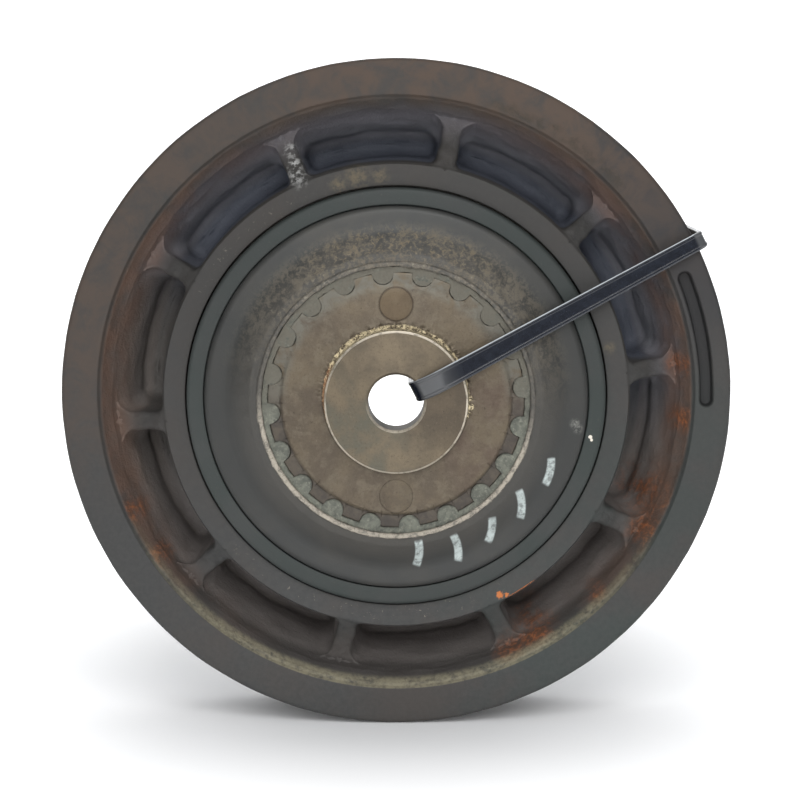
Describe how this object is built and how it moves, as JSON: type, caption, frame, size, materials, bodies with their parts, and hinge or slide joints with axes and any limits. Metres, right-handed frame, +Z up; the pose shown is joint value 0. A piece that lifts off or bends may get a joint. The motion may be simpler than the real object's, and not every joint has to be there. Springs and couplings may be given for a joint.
{
  "type": "electromagnetic clutch",
  "caption": "Compressor clutch with a spoked V-belt pulley on a ball bearing, a field coil, a sliding armature on a dished plate, and a toothed hub driven through a rubber ring.",
  "frame": {"origin": "the point where the clutch axis meets the rear mounting face of the bearing carrier's flange", "axes": "+Y along the axis towards the compressor, -Y out of the clutch's front, +Z up, +X to the right seen from the front"},
  "size_m": [0.2096, 0.0944, 0.21],
  "materials": {
    "cast_iron": "dark, dusty cast surface with brown rust",
    "rotor_steel": "dark turned steel",
    "armature_steel": "satin dark grey",
    "hub_steel": "worn satin, brown tarnish",
    "aged_rubber": "dusty grey, matt",
    "black_rubber": "matt black",
    "bearing_steel": "ground",
    "spring_steel": "phosphated",
    "cage_brass": "pressed",
    "coil_steel": "black coated",
    "zinc_steel": "zinc plated",
    "copper_wire": "enamelled copper wire",
    "bobbin_plastic": "moulded",
    "resin": "cast epoxy",
    "friction_lining": "pressed friction material",
    "black_nylon": "glossy nylon"
  },
  "bodies": {
    "carrier_unit": {"bearing_carrier": "zinc_steel", "bearing_inner_ring": "bearing_steel", "carrier_circlip": "spring_steel", "coil_housing": "coil_steel", "coil_bobbin": "bobbin_plastic", "coil_winding": "copper_wire", "coil_potting": "resin", "coil_screw_1": "zinc_steel", "coil_screw_2": "zinc_steel", "coil_screw_3": "zinc_steel", "coil_screw_4": "zinc_steel", "lead_gland": "black_rubber", "tie_strap": "black_nylon", "tie_head": "black_nylon"},
    "pulley_unit": {"pulley": "cast_iron", "rotor": "rotor_steel", "friction_ring": "friction_lining", "bearing_outer_ring": "bearing_steel", "bearing_seal_front": "black_rubber", "bearing_seal_rear": "black_rubber", "rotor_circlip": "spring_steel"},
    "cage_unit": {"bearing_cage": "cage_brass", "bearing_ball_1": "bearing_steel", "bearing_ball_2": "bearing_steel", "bearing_ball_3": "bearing_steel", "bearing_ball_4": "bearing_steel", "bearing_ball_5": "bearing_steel", "bearing_ball_6": "bearing_steel", "bearing_ball_7": "bearing_steel", "bearing_ball_8": "bearing_steel", "bearing_ball_9": "bearing_steel", "bearing_ball_10": "bearing_steel", "bearing_ball_11": "bearing_steel", "bearing_ball_12": "bearing_steel", "bearing_ball_13": "bearing_steel"},
    "hub_unit": {"hub": "hub_steel", "hub_plug_1": "hub_steel", "hub_plug_2": "hub_steel", "rubber_ring": "aged_rubber"},
    "armature_unit": {"armature_disc": "armature_steel", "armature_plate": "armature_steel"}
  },
  "joints": [
    {"name": "pulley_spin", "type": "hinge", "parent": "carrier_unit", "child": "pulley_unit", "pos_m": [0, 0, 0], "axis": [0, 1, 0], "continuous": true},
    {"name": "bearing_cage_spin", "type": "hinge", "parent": "carrier_unit", "child": "cage_unit", "pos_m": [0, 0, 0], "axis": [0, 1, 0], "continuous": true},
    {"name": "hub_spin", "type": "hinge", "parent": "carrier_unit", "child": "hub_unit", "pos_m": [0, 0, 0], "axis": [0, 1, 0], "continuous": true},
    {"name": "armature_pull_in", "type": "slide", "parent": "hub_unit", "child": "armature_unit", "axis": [0, 1, 0], "range_m": [0, 0.0005], "stiffness_N_per_m": 6000, "springref_m": -0.002}
  ],
  "couplings": [
    {"joint": "bearing_cage_spin", "follows": "pulley_spin", "ratio": 0.5646}
  ]
}
